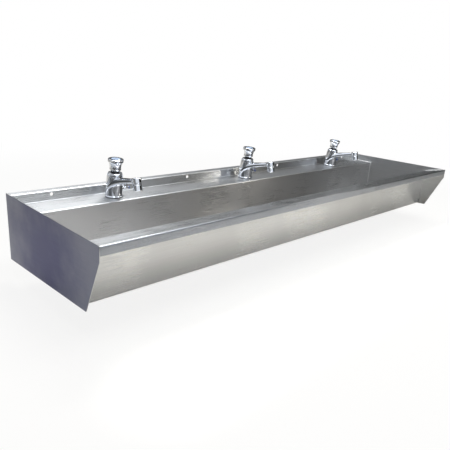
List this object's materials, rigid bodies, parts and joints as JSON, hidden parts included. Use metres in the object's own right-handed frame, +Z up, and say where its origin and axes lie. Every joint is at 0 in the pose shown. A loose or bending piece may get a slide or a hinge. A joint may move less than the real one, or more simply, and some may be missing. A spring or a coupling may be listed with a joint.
{
  "type": "trough sink",
  "caption": "Wall-hung stainless steel wash trough with tap ledge, self-closing push taps with mixing levers, strainer waste and wall brackets.",
  "frame": {"origin": "middle of the four wall bolts of the two brackets, on the wall plane, halfway up the end panels", "axes": "+X along the wall to the user's right, +Y into the wall, +Z up"},
  "size_m": [1.8, 0.515, 0.3471],
  "materials": {
    "sheet_steel": "brushed along the trough",
    "panel_steel": "brushed",
    "bracket_steel": "galvanised",
    "fastener_steel": "plain",
    "chrome": "polished",
    "brass": "turned",
    "rubber": "matt",
    "sleeve_plastic": "moulded",
    "aerator_plastic": "moulded",
    "index_plastic": "moulded",
    "cap_plastic": "blue and red halves",
    "spring_steel": "drawn wire"
  },
  "bodies": {
    "root": {"tap_ledge": "sheet_steel", "bowl": "sheet_steel", "left_end_panel": "panel_steel", "right_end_panel": "panel_steel", "left_wall_bracket": "bracket_steel", "right_wall_bracket": "bracket_steel", "bracket_studs": "fastener_steel", "bracket_washers": "fastener_steel", "bracket_nuts": "fastener_steel", "waste_body": "chrome", "waste_grate": "fastener_steel", "grate_screw": "fastener_steel", "waste_top_seal": "rubber", "waste_bottom_seal": "rubber", "waste_nut": "brass", "tap_rubber_washers": "rubber", "tap_steel_washers": "fastener_steel", "tap_back_nuts": "brass", "left_tap_body": "chrome", "left_tap_gasket": "rubber", "left_tap_shank": "brass", "left_nozzle": "chrome", "left_aerator": "aerator_plastic", "left_cartridge": "sleeve_plastic", "left_collar": "chrome", "left_spring": "spring_steel", "centre_tap_body": "chrome", "centre_tap_gasket": "rubber", "centre_tap_shank": "brass", "centre_nozzle": "chrome", "centre_aerator": "aerator_plastic", "centre_cartridge": "sleeve_plastic", "centre_collar": "chrome", "centre_spring": "spring_steel", "right_tap_body": "chrome", "right_tap_gasket": "rubber", "right_tap_shank": "brass", "right_nozzle": "chrome", "right_aerator": "aerator_plastic", "right_cartridge": "sleeve_plastic", "right_collar": "chrome", "right_spring": "spring_steel"},
    "left_push": {"left_button": "chrome", "left_index": "index_plastic", "left_stem": "fastener_steel"},
    "left_mixer": {"left_lever": "chrome", "left_lever_pin": "chrome", "left_lever_cap": "cap_plastic"},
    "centre_push": {"centre_button": "chrome", "centre_index": "index_plastic", "centre_stem": "fastener_steel"},
    "centre_mixer": {"centre_lever": "chrome", "centre_lever_pin": "chrome", "centre_lever_cap": "cap_plastic"},
    "right_push": {"right_button": "chrome", "right_index": "index_plastic", "right_stem": "fastener_steel"},
    "right_mixer": {"right_lever": "chrome", "right_lever_pin": "chrome", "right_lever_cap": "cap_plastic"}
  },
  "joints": [
    {"name": "left_press", "type": "slide", "parent": "root", "child": "left_push", "axis": [0, 0.1045, -0.9945], "range_m": [0, 0.008], "stiffness_N_per_m": 1500, "springref_m": -0.004, "deforming": ["left_spring"]},
    {"name": "left_mix", "type": "hinge", "parent": "root", "child": "left_mixer", "pos_m": [-0.6, -0.081, 0.0935], "axis": [1, 0, 0], "range_deg": [-45, 45]},
    {"name": "centre_press", "type": "slide", "parent": "root", "child": "centre_push", "axis": [0, 0.1045, -0.9945], "range_m": [0, 0.008], "stiffness_N_per_m": 1500, "springref_m": -0.004, "deforming": ["centre_spring"]},
    {"name": "centre_mix", "type": "hinge", "parent": "root", "child": "centre_mixer", "pos_m": [0, -0.081, 0.0935], "axis": [1, 0, 0], "range_deg": [-45, 45]},
    {"name": "right_press", "type": "slide", "parent": "root", "child": "right_push", "axis": [0, 0.1045, -0.9945], "range_m": [0, 0.008], "stiffness_N_per_m": 1500, "springref_m": -0.004, "deforming": ["right_spring"]},
    {"name": "right_mix", "type": "hinge", "parent": "root", "child": "right_mixer", "pos_m": [0.6, -0.081, 0.0935], "axis": [1, 0, 0], "range_deg": [-45, 45]}
  ]
}
